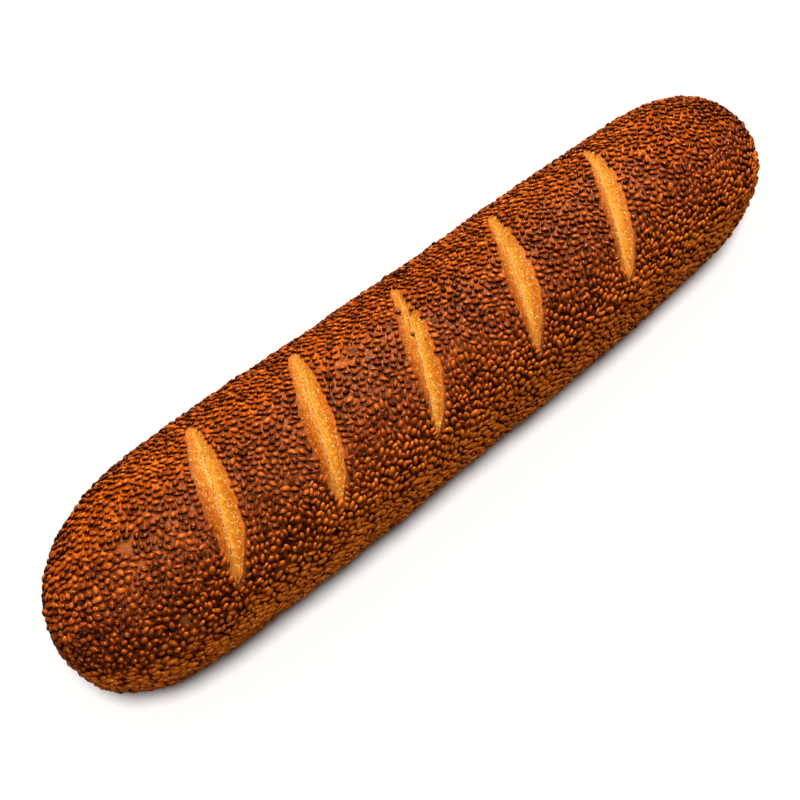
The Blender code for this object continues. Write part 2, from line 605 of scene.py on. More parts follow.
@dataclass(frozen=True)
class CrustFinish:
    """Browned crust between the seeds, with shade painted in the gaps between them."""

    name: str = "toasted_crust"
    toasting: Toasting = Toasting(
        Toast((0.12, 0.016, 0.001), (0.38, 0.062, 0.002), (0.56, 0.115, 0.004)),
        Toast((0.040, 0.006, 0.001), (0.160, 0.030, 0.010), (0.29, 0.066, 0.021)),
        # The front's very dark tones are painted shade in the gaps between the seeds
        Toast((0.010, 0.0013, 0.0003), (0.07, 0.010, 0.0014), (0.19, 0.034, 0.003)),
    )
    shine: float = 0.24
    shine_tint: Colour = (1.0, 0.45, 0.15)
    bald: Colour = (0.27, 0.070, 0.016)
    wrinkle_depth: float = 0.00050
    grain_depth: float = 0.00004

    def make(self) -> bpy.types.Material:
        """Mix the finish."""
        recipe = Recipe(self.name)
        places = recipe.places()
        mottle = recipe.grain(places, 0.0042, 4.0, 0.62, 0.6)
        shade = mottle.rise(0.30, 0.72)
        scorch = recipe.grain(places, 0.013, 3.0, 0.6, 0.4).rise(0.62, 0.74)
        # The mound value paints shade in the gaps between the seeds
        shade = shade + (recipe.attribute("mound") - 0.5) * 0.5 - scorch * 0.5
        colour = self.toasting.paint(recipe, shade.larger(0.0), places)
        bald = recipe.attribute("bald") * (0.70 + mottle * 0.4)
        colour = recipe.blend(bald, colour, self.bald)
        wrinkle = recipe.grain(places, 0.0021, 3.0, 0.55, 1.6)
        fine = recipe.grain(places, 0.0006, 2.0, 0.6)
        normal = recipe.bump(fine, self.grain_depth, recipe.bump(wrinkle, self.wrinkle_depth))
        recipe.finish(
            colour,
            0.22 + mottle * 0.2,
            normal,
            Specular_IOR_Level=self.shine,
            Specular_Tint=self.shine_tint,
        )
        return recipe.material


@dataclass(frozen=True)
class CrumbFinish:
    """Crumb baked golden in the slashes, palest along the crease, with shade painted on its left bank and
    fine glossy wrinkles whose highlights are painted as pale flecks.
    """

    name: str = "golden_crumb"
    left_edge: Colour = (0.25, 0.046, 0.004)
    left_bank: Colour = (0.285, 0.045, 0.0015)
    left_glow: Colour = (0.41, 0.104, 0.004)
    pale: Colour = (0.62, 0.320, 0.095)
    right_glow: Colour = (0.62, 0.245, 0.013)
    right_bank: Colour = (0.42, 0.094, 0.003)
    right_edge: Colour = (0.43, 0.086, 0.005)
    bright: Colour = (0.72, 0.360, 0.050)
    # Colour of the painted highlights on the crumb's glossy wrinkles
    wrinkle: Colour = (0.90, 0.55, 0.12)
    upper_end: Colour = (0.54, 0.165, 0.010)
    lower_end: Colour = (0.46, 0.150, 0.016)
    # Painted shade for the dark line along the crease
    crevice: Colour = (0.10, 0.034, 0.010)
    shine: float = 0.30
    shine_tint: Colour = (1.0, 0.66, 0.25)
    slash_mm: float = 60.0
    dimmed: Colour = (0.70, 0.44, 0.24)
    wrinkle_depth: float = 0.00008
    blister_depth: float = 0.00026

    def make(self) -> bpy.types.Material:
        """Mix the finish."""
        recipe = Recipe(self.name)
        bank = recipe.attribute("bank")
        run = recipe.attribute("run")
        across = recipe.attribute("across_mm")
        wrinkle = recipe.attribute("wrinkle")
        down = run * self.slash_mm
        # Colours from bank to bank, their borders frayed by strands and patches
        strands = recipe.grain(recipe.join(across, down * 0.34, 0.0), 0.54, 3.0, 0.6, 0.6)
        patches = recipe.grain(recipe.join(across * 0.6, down * 0.25, 3.0), 1.8, 2.0)
        wander = bank + (strands - 0.5) * 0.44 + (patches - 0.5) * 0.40
        # The left bank's colours are darker than the right's: painted shade on the bank that faces away
        # from the key lamp
        colour = recipe.ramp(
            (wander + 1.2) / 2.4,
            (0.07, self.left_edge),
            (0.22, self.left_bank),
            (0.41, self.left_glow),
            (0.51, self.pale),
            (0.58, self.right_glow),
            (0.76, self.right_bank),
            (0.94, self.right_edge),
        )
        # Other tones towards the ends and in the upper half
        colour = recipe.blend(run.rise(0.18, 0.02) * 0.55, colour, self.upper_end)
        front_end = (run + (patches - 0.5) * 0.12).rise(0.80, 0.99)
        colour = recipe.blend(front_end * 0.75, colour, self.lower_end)
        upper_half = run.rise(0.56, 0.34) * run.rise(0.04, 0.16)
        colour = recipe.blend(upper_half * abs(bank).rise(0.95, 0.50) * 0.22, colour, self.bright)
        shaded = strands.rise(0.54, 0.36) * 0.75
        colour = recipe.blend(shaded, colour, recipe.blend(1.0, colour, self.dimmed, "MULTIPLY"))
        # Painted highlights: pale flecks on glossy wrinkles, fewer on the left bank, and on the wrinkles'
        # tops
        curls = recipe.grain(recipe.join(across, down * 0.7, 5.0), 1.15, 1.0, 0.5, 1.1)
        broken = recipe.grain(recipe.join(across, down * 0.6, 9.0), 0.9, 2.0, 0.6).rise(0.46, 0.57)
        flecks = abs(curls - 0.5).rise(0.052, 0.012) * broken
        flecks = flecks * abs(bank).rise(0.06, 0.20) * abs(bank).rise(1.05, 0.70)
        flecks = flecks * (0.62 + bank.rise(-0.35, 0.10) * 0.38)
        colour = recipe.blend(flecks.larger(wrinkle * 0.16) * 0.80, colour, self.wrinkle)
        # Darker towards both tips, and a broken dark line of painted shade along the crease
        tips = run.rise(0.93, 1.0).larger(run.rise(0.05, 0.0))
        colour = recipe.blend(tips * 0.60, colour, self.left_edge)
        dashes = recipe.grain(recipe.join(down, 0.0, 7.0), 0.8, 1.0).rise(0.46, 0.55)
        crease = abs(recipe.attribute("crease_mm")).rise(0.22, 0.08)
        shown = run.rise(0.14, 0.22) * run.rise(0.95, 0.90)
        colour = recipe.blend(crease * dashes * shown * 0.85, colour, self.crevice)
        blisters = recipe.grain(recipe.join(across, down * 0.5, 11.0), 0.8, 3.0, 0.6, 0.7)
        normal = recipe.bump(flecks, self.wrinkle_depth, recipe.bump(blisters, self.blister_depth))
        recipe.finish(
            colour,
            0.48 - flecks * 0.20,
            normal,
            Specular_IOR_Level=self.shine,
            Specular_Tint=self.shine_tint,
        )
        return recipe.material


# The seeds' deep colours are painted shade on their shaded sides and bases; their crest colours are
# reached as painted light on their lit sides
SEED_TOASTING_AND_PAINTED_SHADE = Toasting(
    Toast((0.013, 0.0012, 0.0003), (0.34, 0.053, 0.0018), (0.60, 0.136, 0.005)),
    Toast((0.012, 0.0011, 0.0004), (0.225, 0.034, 0.0033), (0.52, 0.110, 0.012)),
    Toast((0.011, 0.0010, 0.0003), (0.28, 0.044, 0.0026), (0.48, 0.110, 0.007)),
)


@dataclass(frozen=True)
class SeedFinish:
    """Toasted seed skin, with shade painted on the side that faces down the loaf's front and light painted
    on the side towards the key lamp.
    """

    name: str
    strength: float = 1.0
    gloss: float = 0.20
    shine: float = 0.40
    shine_tint: Colour = (1.0, 0.40, 0.12)
    toasting: Toasting = SEED_TOASTING_AND_PAINTED_SHADE
    grain_depth: float = 0.00007

    def make(self) -> bpy.types.Material:
        """Mix the finish."""
        recipe = Recipe(self.name)
        places = recipe.places()
        mottle = recipe.grain(places, 0.0011, 3.0, 0.6, 0.5)
        # The stored value paints shade on the seeds' shaded sides and bases and light on their lit sides
        shade = recipe.attribute("tint") * 0.60 + mottle * 0.45 - recipe.attribute("toast")
        colour = self.toasting.paint(recipe, shade, places)
        colour = recipe.blend(1.0, colour, (self.strength,) * 3, "MULTIPLY")
        normal = recipe.bump(recipe.grain(places, 0.0005, 2.0, 0.5), self.grain_depth)
        recipe.finish(
            colour,
            self.gloss + mottle * 0.14,
            normal,
            Specular_IOR_Level=self.shine,
            Specular_Tint=self.shine_tint,
        )
        return recipe.material


# The crust


@dataclass
class Crust:
    """The browned crust, one closed skin with a trough under every slash."""

    form: LoafForm
    slashes: tuple[Slash, ...]
    finish: CrustFinish
    coat: float = 0.0009
    round_steps: int = 264
    cap_rings: int = 54
    body_rings: int = 226
    trough_clearance: float = 0.0008
    lip: float = 0.00016
    lip_out: float = 0.0009
    lip_width: float = 0.0007
    trough_edge: float = 0.0012
    lowest: float = 0.0004

    def stations(self) -> np.ndarray:
        """X of every ring from tip to tip, close together where the ends curve most."""
        half = self.form.length / 2
        steps = np.arange(self.cap_rings + 1) / self.cap_rings
        insets = 1.0 - np.cos(math.pi / 2 * steps) ** (2.0 / self.form.cap_power)
        thick = -half + self.form.thick_cap * insets
        thin = half - self.form.thin_cap * insets[::-1]
        body = np.linspace(thick[-1], thin[0], self.body_rings + 1)[1:-1]
        return np.concatenate([thick, body, thin])

    def roll_blank(self) -> bmesh.types.BMesh:
        """Roll a grid up into a plain closed skin in the loaf's form.

        The grid's own map unrolls the skin, with its seam along the middle of the base.

        Returns:
            The skin.
        """
        stations = self.stations()
        bm = bmesh.new()
        bm.loops.layers.uv.new(BAKE_MAP)
        bmesh.ops.create_grid(
            bm, x_segments=len(stations) - 1, y_segments=self.round_steps, size=1.0, calc_uvs=True
        )
        spots = np.array([vert.co for vert in bm.verts])
        x = np.interp(spots[:, 0], np.linspace(-1.0, 1.0, len(stations)), stations)
        for vert, place in zip(bm.verts, self.form.surface(x, math.pi * (spots[:, 1] + 0.5))):
            vert.co = place
        close_up(bm)
        return bm

    def sink_troughs(self, places: np.ndarray) -> np.ndarray:
        """Height change that makes room for the crumb in the slashes, with a lip along them."""
        change = np.zeros(len(places))
        on_crown = places[:, 2] > self.form.section(places[:, 0])[1] - self.coat
        for slash in self.slashes:
            share, across = slash.measure(places[:, 0], places[:, 1])
            inside = slash.inside(places[:, 0], places[:, 1])
            share = np.clip(share, 0.0, 1.0)
            drop = slash.groove(share, slash.bank(share, across)) + self.trough_clearance
            lip = self.lip * np.exp(-(((inside + self.lip_out) / self.lip_width) ** 2))
            change += on_crown * (lip - smooth_step(0.0, self.trough_edge, inside) * drop)
        return change

    def build(self) -> bpy.types.Object:
        """Model the crust.

        Returns:
            The finished piece, dressed in its finish.
        """
        bm = self.roll_blank()
        mesh = bpy.data.meshes.new("crust")
        bm.to_mesh(mesh)
        bm.free()
        places, normals = read_points(mesh)
        places = places - normals * self.coat
        places = places + normals * (relief(places) + self.sink_troughs(places))[:, None]
        places[:, 2] = np.maximum(places[:, 2], self.lowest)
        mesh.vertices.foreach_set("co", places.astype(np.float32).ravel())
        store(mesh, "around", self.form.browning_angle(places))
        mesh.shade_smooth()
        mesh.materials.append(self.finish.make())
        return add_piece("crust", mesh)


# The crumb in the slashes


@dataclass
class SlashBeds:
    """The golden crumb in the bottom of every slash, as five closed spindles in one piece."""

    form: LoafForm
    slashes: tuple[Slash, ...]
    finish: CrumbFinish
    coat: float = 0.0009
    columns: int = 74
    rows: int = 218
    margin: float = 0.00045
    tuck: float = 0.0016
    puff: float = 0.00024
    skirt: float = 0.0016
    crowding: float = 1.35
    notch_depth: float = 0.00020
    notch_width: float = 0.00022
    wrinkle_height: float = 0.00010
    swelling: float = 0.00026
    pimples: float = 0.00016
    draw_in: float = 0.06
    pattern_shift: float = 900.0
    map_margin: float = 0.02

    def bed_surface(self, slash: Slash, side: np.ndarray, share: np.ndarray) -> dict[str, np.ndarray]:
        """Place the crumb's surface.

        Args:
            slash: The slash that the crumb lies in.
            side: From -1 at the left margin through 0 in the crease to 1 at the right margin.
            share: Share of the way along the slash.

        Returns:
            The points, and the values that the finish reads.
        """
        left, right, crease = slash.edges(share)
        reach = np.where(side > 0.0, right + self.margin - crease, crease - left + self.margin)
        across = crease + side * reach
        bank = slash.bank(share, across)
        x, y = slash.plan(share, across)
        normal = self.form.crown_normal(x, y)
        skin = np.stack([x, y, self.form.crown_height(x, y)], axis=1)
        flat = np.stack([across, share * slash.length, np.full_like(x, slash.middle_x)], axis=1)
        beyond = np.clip(np.minimum(across - left, right - across) / -self.margin, 0.0, 1.0)
        fade = np.clip(1.0 - np.abs(bank) ** 3, 0.0, 1.0)
        height = relief(skin - normal * self.coat) - self.coat
        height += self.puff * np.clip(1.0 - beyond * 3.0, 0.0, 1.0)
        height += fade * self.swelling * lumps(flat, (0.0042, 0.0080, 1.0), 2.2)
        height += fade * self.pimples * lumps(flat, (0.0014, 0.0034, 1.0))
        wrinkle = self.wrinkles(flat, bank) * fade
        height += self.wrinkle_height * wrinkle
        shown = smooth_step(0.13, 0.24, share) * (1.0 - smooth_step(0.88, 0.95, share))
        dashes = smooth_step(-0.20, 0.20, lumps(flat * (0.0, 1.0, 1.0), 0.0016, 9.4))
        notch = np.exp(-(((across - crease) / self.notch_width) ** 2)) * shown * (0.1 + 0.9 * dashes)
        height -= slash.groove(share, bank) + beyond * self.tuck + notch * self.notch_depth
        return {
            "points": skin + normal * height[:, None],
            "bank": bank,
            "run": share,
            "across_mm": across / MM + slash.middle_x * self.pattern_shift,
            "crease_mm": (across - crease) / MM,
            "wrinkle": wrinkle,
        }

    def wrinkles(self, flat: np.ndarray, bank: np.ndarray) -> np.ndarray:
        """Small glossy blisters and strokes beside the crease, from 0 between them to 1 on top."""
        bent = flat + 0.0004 * lumps(flat, (0.0007, 0.0012, 1.0), 6.1)[:, None]
        peaks = smooth_step(0.06, 0.30, lumps(bent, (0.00040, 0.00074, 1.0), 3.7))
        patchy = smooth_step(-0.34, 0.22, lumps(flat, (0.0015, 0.0034, 1.0), 8.3))
        return peaks * patchy * smooth_step(0.06, 0.20, np.abs(bank))

    def fold_under(self, places: np.ndarray, row: np.ndarray, column: np.ndarray) -> np.ndarray:
        """Carry the borders of a bed down until they meet beneath it, and close its ends.

        Args:
            places: Vertices of the bed, with two spare columns and a spare row on either side.
            row: Row of each vertex.
            column: Column of each vertex.

        Returns:
            The vertices, the spare ones moved under the bed.
        """
        sheet = np.zeros((self.rows + 3, self.columns + 5, 3))
        sheet[row, column] = places
        middle = sheet[1:-1, 2:-2].mean(axis=(0, 1))
        for border in (1, -2):
            sheet[:, border] += (middle - sheet[:, border]) * (self.draw_in, self.draw_in, 0.0)
            sheet[:, border, 2] -= self.skirt
        sheet[:, 0] = sheet[:, -1] = (sheet[:, 1] + sheet[:, -2]) / 2
        for end, spare in ((1, 0), (-2, -1)):
            sheet[spare] = (sheet[end, 0] + sheet[end, self.columns // 2 + 2]) / 2
        return sheet[row, column]

    def make_bed(self, number: int, slash: Slash) -> bmesh.types.BMesh:
        """Model one bed from a grid that is folded under itself and closed.

        Args:
            number: The slash's place in the row.
            slash: The slash that the crumb lies in.

        Returns:
            The closed bed.
        """
        bm = bmesh.new()
        uv_layer = bm.loops.layers.uv.new(BAKE_MAP)
        across, along = self.columns + 4, self.rows + 2
        bmesh.ops.create_grid(bm, x_segments=across, y_segments=along, size=1.0, calc_uvs=True)
        share_used = 1.0 - 2.0 * self.map_margin
        for face in bm.faces:
            for loop in face.loops:
                x, y = loop[uv_layer].uv
                strip = number + self.map_margin + x * share_used
                loop[uv_layer].uv = (y, strip / len(self.slashes))
        spots = np.array([vert.co for vert in bm.verts])
        column = np.round((spots[:, 0] + 1.0) / 2 * across).astype(int)
        row = np.round((spots[:, 1] + 1.0) / 2 * along).astype(int)
        side = np.clip(2.0 * (column - 2) / self.columns - 1.0, -1.0, 1.0)
        side = np.sign(side) * np.abs(side) ** self.crowding
        share = 1.0 - np.clip((row - 1) / self.rows, 0.0, 1.0)
        bed = self.bed_surface(slash, side, share)
        places = self.fold_under(bed.pop("points"), row, column)
        layers = {name: bm.verts.layers.float.new(name) for name in bed}
        for index, vert in enumerate(bm.verts):
            vert.co = places[index]
            for name, layer in layers.items():
                vert[layer] = bed[name][index]
        close_up(bm)
        return bm

    def build(self) -> bpy.types.Object:
        """Model all the beds and join them.

        Returns:
            The finished piece, dressed in its finish.
        """
        joined = bmesh.new()
        part = bpy.data.meshes.new("one_bed")
        for number, slash in enumerate(self.slashes):
            bed = self.make_bed(number, slash)
            bed.to_mesh(part)
            bed.free()
            joined.from_mesh(part)
        mesh = bpy.data.meshes.new("slash_beds")
        joined.to_mesh(mesh)
        joined.free()
        bpy.data.meshes.remove(part)
        mesh.shade_smooth()
        mesh.materials.append(self.finish.make())
        return add_piece("slash_beds", mesh)


# The seeds


class Kind(Enum):
    """The kinds of seed in the coat."""

    PLUMP = "plump_seeds"
    ROUND = "round_seeds"
    SLENDER = "slender_seeds"
    AMBER = "amber_seeds"
    BROAD = "broad_seeds"
    RIMMED = "rimmed_seeds"
    BURNT = "burnt_seeds"


class Zone(Enum):
    """Parts of the loaf whose seeds lie in different ways."""

    BACK = 0
    CROWN = 1
    FRONT = 2
    FOOT = 3


@dataclass(frozen=True)
class BeadShape:
    """A seed with a round belly, blunt at -X and pointed at +X before it is laid."""

    half_length: float
    half_width: float
    half_thickness: float
    taper: float
    droop: float = 0.12
    crook: float = 0.0
    sides: int = 8
    rings: int = 5

    def model(self) -> bmesh.types.BMesh:
        """Shape one seed from a grid rolled up into a ball, whose poles lie at its two ends."""
        bm = bmesh.new()
        bm.loops.layers.uv.new(BAKE_MAP)
        bmesh.ops.create_grid(
            bm, x_segments=self.rings, y_segments=self.sides, size=1.0, calc_uvs=True
        )
        for vert in bm.verts:
            along, around = vert.co.x * math.pi / 2, vert.co.y * math.pi
            x, ring = math.sin(along), math.cos(along)
            y, z = ring * math.cos(around), ring * math.sin(around)
            slim = 1.0 - self.taper * ((x + 1.0) / 2) ** 1.6
            bulge = 1.0 if z > 0.0 else 0.72
            y = y * slim + self.crook * (1.0 - x * x)
            vert.co = (x, y, z * bulge * (0.35 + 0.65 * slim) - self.droop * x * x)
        size = (self.half_length, self.half_width, self.half_thickness)
        bmesh.ops.scale(bm, verts=bm.verts, vec=size)
        close_up(bm)
        return bm


@dataclass(frozen=True)
class DiscShape:
    """A flat seed with a raised rim round a hollow, like a tiny dish."""

    half_length: float
    half_width: float
    half_thickness: float
    taper: float
    sides: int = 10
    insets: tuple[tuple[float, float], ...] = ((0.22, 0.30), (0.20, -0.02), (0.16, -0.14))

    def model(self) -> bmesh.types.BMesh:
        """Shape one seed from a short cone, its top pulled in, raised and hollowed."""
        bm = bmesh.new()
        uv_layer = bm.loops.layers.uv.new(BAKE_MAP)
        bmesh.ops.create_cone(
            bm, cap_ends=True, segments=self.sides, radius1=0.78, radius2=1.0, depth=1.1
        )
        top = max(bm.faces, key=lambda face: face.calc_center_median().z)
        for thickness, depth in self.insets:
            bmesh.ops.inset_region(bm, faces=[top], thickness=thickness, depth=depth)
        for vert in bm.verts:
            vert.co.y *= 1.0 - self.taper * max(vert.co.x, 0.0) ** 1.5
        size = (self.half_length, self.half_width, self.half_thickness)
        bmesh.ops.scale(bm, verts=bm.verts, vec=size)
        bmesh.ops.recalc_face_normals(bm, faces=bm.faces)
        for face in bm.faces:
            hidden = face.normal.z < -0.05
            for loop in face.loops:
                x = loop.vert.co.x / self.half_length / 2.1 + 0.5
                y = loop.vert.co.y / self.half_width / 2.1 + 0.5
                loop[uv_layer].uv = (0.72 + x * 0.28, y) if hidden else (x * 0.70, y)
        return bm


@dataclass(frozen=True)
class SeedStock:
    """One kind of seed: its shape, its finish and how it is laid."""

    kind: Kind
    shape: Union[BeadShape, DiscShape]
    finish: SeedFinish
    bedding: float


STOCK = (
    SeedStock(
        Kind.PLUMP,
        BeadShape(0.00160, 0.00108, 0.00098, 0.28, 0.10, 0.06),
        SeedFinish("plump_skin"),
        0.48,
    ),
    SeedStock(
        Kind.ROUND,
        BeadShape(0.00140, 0.00114, 0.00100, 0.20, 0.08, -0.06),
        SeedFinish("round_skin", 0.85),
        0.46,
    ),
    SeedStock(
        Kind.SLENDER,
        BeadShape(0.00186, 0.00084, 0.00092, 0.40, 0.12, 0.07),
        SeedFinish("slender_skin"),
        0.62,
    ),
    SeedStock(
        Kind.AMBER,
        BeadShape(0.00178, 0.00080, 0.00088, 0.46, 0.12, -0.07),
        SeedFinish("amber_skin", 1.1),
        0.64,
    ),
    SeedStock(
        Kind.BROAD,
        BeadShape(0.00168, 0.00116, 0.00086, 0.34, 0.06, 0.05),
        SeedFinish("broad_skin"),
        0.54,
    ),
    SeedStock(
        Kind.RIMMED,
        DiscShape(0.00150, 0.00114, 0.00062, 0.24),
        SeedFinish("dished_skin", 0.85),
        0.58,
    ),
    SeedStock(
        Kind.BURNT,
        BeadShape(0.00150, 0.00106, 0.00094, 0.32, 0.14, 0.10),
        SeedFinish("burnt_skin", 0.22, 0.38, 0.20, (1.0, 0.28, 0.12)),
        0.52,
    ),
)

# Angles round the loaf between which a zone lies, in degrees; the foot is what is left
ZONE_BORDERS = {Zone.BACK: (0.0, 62.0), Zone.CROWN: (62.0, 114.0), Zone.FRONT: (114.0, 160.0)}

# Share of each kind of seed in each zone, in the order of Kind
KIND_SHARES = {
    Zone.BACK: (0.26, 0.16, 0.07, 0.08, 0.40, 0.008, 0.01),
    Zone.CROWN: (0.40, 0.34, 0.07, 0.05, 0.12, 0.006, 0.005),
    Zone.FRONT: (0.10, 0.06, 0.46, 0.34, 0.03, 0.005, 0.005),
    Zone.FOOT: (0.12, 0.06, 0.36, 0.28, 0.16, 0.01, 0.01),
}


@dataclass(frozen=True)
class Lay:
    """How the seeds of one zone lie."""

    heading: float
    heading_spread: float
    flips: bool
    lean_to: float
    lean_to_spread: float
    lean: float
    lean_spread: float


# Headings are turned from down the front of the loaf towards its thin end, in degrees. The
# shaded one points away from the lamp that lights the loaf from behind; the seeds' shade is painted on
# that side.
SHADED_HEADING = -36.0
LAYS = {
    Zone.BACK: Lay(56.0, 34.0, True, SHADED_HEADING, 18.0, 25.0, 8.0),
    Zone.CROWN: Lay(50.0, 52.0, True, SHADED_HEADING, 24.0, 22.0, 8.0),
    Zone.FRONT: Lay(-38.0, 21.0, False, 148.0, 22.0, 25.0, 9.0),
    Zone.FOOT: Lay(76.0, 28.0, True, 160.0, 30.0, 20.0, 8.0),
}


@dataclass
class Bedding:
    """The seeds' places while they are being laid, one row for each seed."""

    place: np.ndarray
    normal: np.ndarray
    heading: np.ndarray
    wanted: np.ndarray
    half_length: np.ndarray
    half_width: np.ndarray

    def axes(self) -> tuple[np.ndarray, np.ndarray]:
        """Directions along and across every seed, flat on the crust."""
        along_loaf = np.array([1.0, 0.0, 0.0]) - self.normal[:, :1] * self.normal
        weak = np.linalg.norm(along_loaf, axis=1) < 0.05
        along_loaf[weak] = np.array([0.0, 0.0, 1.0]) - self.normal[weak, 2:] * self.normal[weak]
        along_loaf = unit(along_loaf)
        over = np.cross(along_loaf, self.normal)
        cos, sin = np.cos(self.heading)[:, None], np.sin(self.heading)[:, None]
        along = over * cos + along_loaf * sin
        return along, np.cross(self.normal, along)

    def keep(self, chosen: np.ndarray) -> None:
        """Drop the seeds that aren't chosen."""
        for name in ("place", "normal", "heading", "wanted", "half_length", "half_width"):
            setattr(self, name, getattr(self, name)[chosen])


@dataclass
class SeedCoat:
    """The coat of seeds, scattered over the crust, pushed apart and joined kind by kind."""

    form: LoafForm
    slashes: tuple[Slash, ...]
    crust: bpy.types.Object
    stock: tuple[SeedStock, ...] = STOCK
    area_each: float = 6.9e-6
    rounds: int = 56
    reach: float = 0.0044
    first_closeness: float = 1.30
    last_closeness: float = 0.94
    straightening: float = 0.045
    crown_floor: float = 0.03
    knobbliness: float = 0.055
    mound: float = 0.00026
    mound_width: float = 0.0013
    slash_gap: float = 0.0010
    clearing_step: float = 0.0006
    push: float = 0.36
    turning: float = 0.10
    most_turn: float = 0.12
    zone_spread: float = 9.0
    zone_wander: float = 12.0
    size_spread: float = 0.12
    size_limits: tuple[float, float] = (0.74, 1.28)
    stretch_spread: float = 0.09
    stretch_limits: tuple[float, float] = (0.80, 1.20)
    sinking: tuple[float, float] = (0.55, 1.25)
    floor_gap: float = 0.00002
    bare_border: float = 0.62
    ragged: float = 0.0012
    stray_size: float = 0.85
    stray_depth: float = 0.0008
    strays: tuple[tuple[float, float], ...] = ((-0.0044, 0.0020), (0.0014, 0.0094), (-0.0029, 0.0116))
    bare_spots: tuple[tuple[float, float, float], ...] = (
        (-0.1280, 0.0042, 0.0025),
        (-0.1290, -0.0030, 0.0020),
        (-0.1286, -0.0254, 0.0015),
    )

    def __post_init__(self) -> None:
        """Read the crust's surface."""
        self.chance = np.random.default_rng(CHANCE)
        mesh = self.crust.data
        self.points, self.normals = read_points(mesh)
        mesh.calc_loop_triangles()
        corners = np.empty(len(mesh.loop_triangles) * 3, np.int32)
        mesh.loop_triangles.foreach_get("vertices", corners)
        self.triangles = corners.reshape(-1, 3)
        self.tree = BVHTree.FromPolygons(self.points.tolist(), self.triangles.tolist())

    def thickness_of(self, places: np.ndarray) -> np.ndarray:
        """How thickly seeds lie, 1 being usual."""
        around = self.form.angle_of(places)
        inside = self.inside(places)
        # Thicker on the front, thinner towards the foot, patchy, and thick along the slashes
        thick = 0.96 + 0.26 * smooth_step(100.0, 125.0, around)
        thick = thick - 0.32 * smooth_step(144.0, 162.0, around)
        thick = thick + 0.07 * lumps(places, 0.011, 4.4) + 0.06 * lumps(places, 0.005, 6.2)
        thick = thick * (1.0 + 0.35 * smooth_step(-0.0035, -0.0008, inside))
        return thick * (inside < 0.0)

    def inside(self, places: np.ndarray) -> np.ndarray:
        """Distance of places into the nearest slash, far outside below the crown."""
        inside = np.max([slash.inside(places[:, 0], places[:, 1]) for slash in self.slashes], axis=0)
        crown = places[:, 2] > self.form.section(places[:, 0])[1]
        return np.where(crown, inside, -1.0)

    def zones_of(self, places: np.ndarray) -> np.ndarray:
        """Choose a zone for every place, with soft borders."""
        around = self.form.angle_of(places) + self.chance.normal(0.0, self.zone_spread, len(places))
        around = around + self.zone_wander * lumps(places, 0.02, 2.7)
        zones = np.full(len(places), Zone.FOOT.value)
        for zone, (start, end) in ZONE_BORDERS.items():
            zones[(around > start) & (around <= end)] = zone.value
        return zones

    def sow(self) -> Bedding:
        """Scatter seeds over the crust.

        Returns:
            Their first places, with sizes that suit their kinds.
        """
        corners = self.points[self.triangles]
        middles = corners.mean(axis=1)
        cross = np.cross(corners[:, 1] - corners[:, 0], corners[:, 2] - corners[:, 0])
        areas = np.linalg.norm(cross, axis=1) / 2 * self.thickness_of(middles)
        count = int(areas.sum() / self.area_each)
        chosen = self.chance.choice(len(areas), count, p=areas / areas.sum())
        first, second = np.sqrt(self.chance.random(count)), self.chance.random(count)
        weights = np.stack([1.0 - first, first * (1.0 - second), first * second], axis=1)
        place = np.einsum("nk,nkc->nc", weights, corners[chosen])
        self.zone = self.zones_of(place)
        self.kind = self.choose_kinds(place)
        heading = np.empty(count)
        for zone, lay in LAYS.items():
            rows = self.zone == zone.value
            turned = self.chance.normal(lay.heading, lay.heading_spread, rows.sum())
            turned += lay.flips * 180.0 * self.chance.integers(0, 2, rows.sum())
            heading[rows] = np.radians(turned)
        half_length = np.array([item.shape.half_length for item in self.stock])[self.kind]
        half_width = np.array([item.shape.half_width for item in self.stock])[self.kind]
        self.size = self.chance.normal(1.0, self.size_spread, count).clip(*self.size_limits)
        # Larger at the thick end's tip and low on the front
        self.size *= 1.0 + 0.12 * smooth_step(-0.11, -0.15, place[:, 0])
        self.size *= 1.0 + 0.14 * smooth_step(140.0, 160.0, self.form.angle_of(place))
        sizes = (half_length * self.size, half_width * self.size)
        return Bedding(place, np.zeros_like(place), heading, heading.copy(), *sizes)

    def number_of(self, kind: Kind) -> int:
        """Place of a kind in the stock."""
        return [item.kind for item in self.stock].index(kind)

    def choose_kinds(self, places: np.ndarray) -> np.ndarray:
        """Choose a kind for every seed by its zone, burnt ones in small clusters."""
        kinds = np.empty(len(places), int)
        for zone, shares in KIND_SHARES.items():
            rows = np.nonzero(self.zone == zone.value)[0]
            share = np.array(shares) / sum(shares)
            kinds[rows] = self.chance.choice(len(shares), len(rows), p=share)
        cluster = lumps(places, 0.006, 12.5) + 0.35 * self.chance.random(len(places))
        around = self.form.angle_of(places)
        often = 0.90 - 0.10 * (around < 70.0)
        kinds[cluster > often] = self.number_of(Kind.BURNT)
        return kinds

    def rest_on_crust(self, bed: Bedding) -> None:
        """Bring every seed back to the nearest point of the crust."""
        found = [self.tree.find_nearest(place) for place in bed.place]
        bed.place[:] = [spot for spot, _, _, _ in found]
        below = self.triangles[[index for _, _, index, _ in found]]
        bed.normal[:] = unit(self.normals[below].mean(axis=1))

    def neighbours(self, bed: Bedding) -> tuple[np.ndarray, np.ndarray]:
        """Pairs of seeds that are close enough to touch."""
        tree = tree_of(bed.place)
        pairs = [
            (row, other)
            for row, place in enumerate(bed.place)
            for _, other, _ in tree.find_range(place, self.reach)
            if other > row
        ]
        both = np.array(pairs)
        return both[:, 0], both[:, 1]

